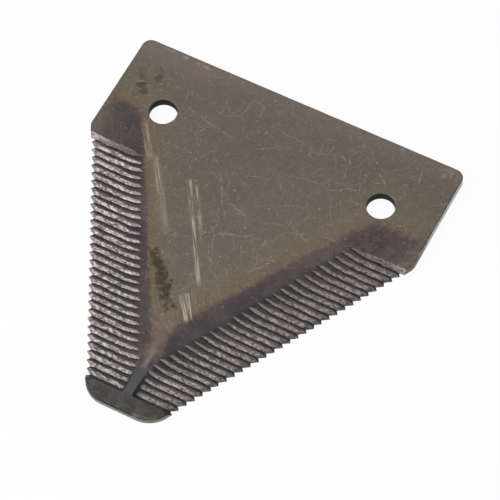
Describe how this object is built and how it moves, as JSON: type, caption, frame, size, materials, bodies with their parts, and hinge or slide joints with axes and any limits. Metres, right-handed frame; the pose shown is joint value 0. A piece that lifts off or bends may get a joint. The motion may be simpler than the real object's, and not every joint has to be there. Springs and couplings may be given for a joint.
{
  "type": "mower sickle section",
  "caption": "Flat steel knife plate with rivet holes in its square heel, a blunt tapering blade, and serrated hollow bevels along both cutting edges, for a reciprocating sickle-bar mower.",
  "frame": {"origin": "midway between the rivet holes, on the underside that lies on the knife back", "axes": "+X across the section, +Y towards the straight back edge, +Z out of the bevelled face"},
  "size_m": [0.075, 0.08, 0.0021],
  "materials": {
    "hardened_steel": "satin, heat-tinted and finely scratched"
  },
  "bodies": {
    "root": {"knife_section": "hardened_steel"}
  },
  "joints": []
}
